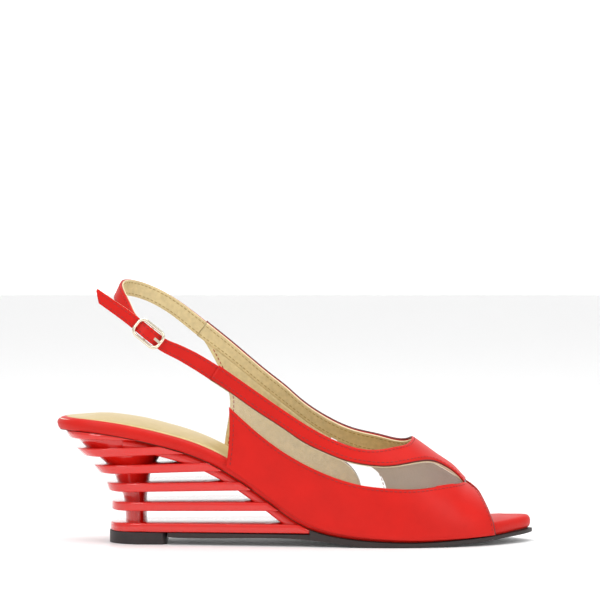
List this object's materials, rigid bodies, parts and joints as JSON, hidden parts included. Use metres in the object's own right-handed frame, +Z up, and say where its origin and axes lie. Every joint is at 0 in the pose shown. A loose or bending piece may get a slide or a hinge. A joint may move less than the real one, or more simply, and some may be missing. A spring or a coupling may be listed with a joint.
{
  "type": "wedge sandal",
  "caption": "Peep-toe slingback sandal on a slatted wedge heel, with clear windows in its leather upper and a buckled heel strap.",
  "frame": {"origin": "on the ground, under the middle of the sandal's box", "axes": "+X towards the toe, +Y towards the inner side of the foot, +Z up"},
  "size_m": [0.2375, 0.0771, 0.1311],
  "materials": {
    "upper_leather": "smooth red calf leather, satin",
    "wrap_leather": "smooth red leather drawn over the footbed's edge",
    "gold_lining": "pearly gold lining leather",
    "taupe_lining": "taupe lining leather",
    "gold_sock": "pale gold padded sock",
    "clear_vinyl": "clear flexible film, glossy",
    "heel_plastic": "glossy red moulded plastic",
    "outsole_rubber": "thin dark brown sole, satin",
    "top_piece_rubber": "black, hard, matt",
    "board_fibre": "pressed cellulose board",
    "foam": "soft closed-cell foam",
    "filler_cork": "pressed cork",
    "steel": "bare steel",
    "buckle_metal": "pale champagne plated, polished"
  },
  "bodies": {
    "shoe": {"outsole": "outsole_rubber", "wedge_heel": "heel_plastic", "heel_top_piece": "top_piece_rubber", "top_piece_pins": "steel", "heel_screw": "steel", "heel_nails": "steel", "shank_rivets": "steel", "steel_shank": "steel", "insole_board": "board_fibre", "bottom_filler": "filler_cork", "footbed_foam": "foam", "footbed_wrap": "wrap_leather", "sock_lining": "gold_sock", "topline_band": "upper_leather", "topline_band_lining": "gold_lining", "lateral_vamp": "upper_leather", "lateral_vamp_lining": "gold_lining", "medial_quarter": "upper_leather", "medial_quarter_lining": "gold_lining", "medial_vamp": "upper_leather", "medial_vamp_lining": "taupe_lining", "lateral_window": "clear_vinyl", "medial_window": "clear_vinyl", "front_window": "clear_vinyl"},
    "sling": {"sling_strap": "upper_leather", "sling_strap_lining": "gold_lining", "punched_strap": "upper_leather", "punched_strap_lining": "gold_lining"},
    "buckle": {"buckle_frame": "buckle_metal"},
    "prong": {"buckle_prong": "buckle_metal"}
  },
  "joints": [
    {"name": "sling_swing", "type": "hinge", "parent": "shoe", "child": "sling", "pos_m": [-0.04, -0.02473, 0.0867], "axis": [-0.1426, 0.9066, 0.3972], "range_deg": [-45, 55]},
    {"name": "buckle_tilt", "type": "hinge", "parent": "sling", "child": "buckle", "pos_m": [-0.0727, -0.0266, 0.1058], "axis": [0.6242, 0, 0.7813], "range_deg": [-3, 3]},
    {"name": "prong_swing", "type": "hinge", "parent": "buckle", "child": "prong", "pos_m": [-0.0727, -0.0266, 0.1058], "axis": [-0.6242, 0, -0.7813], "range_deg": [0, 20]}
  ]
}
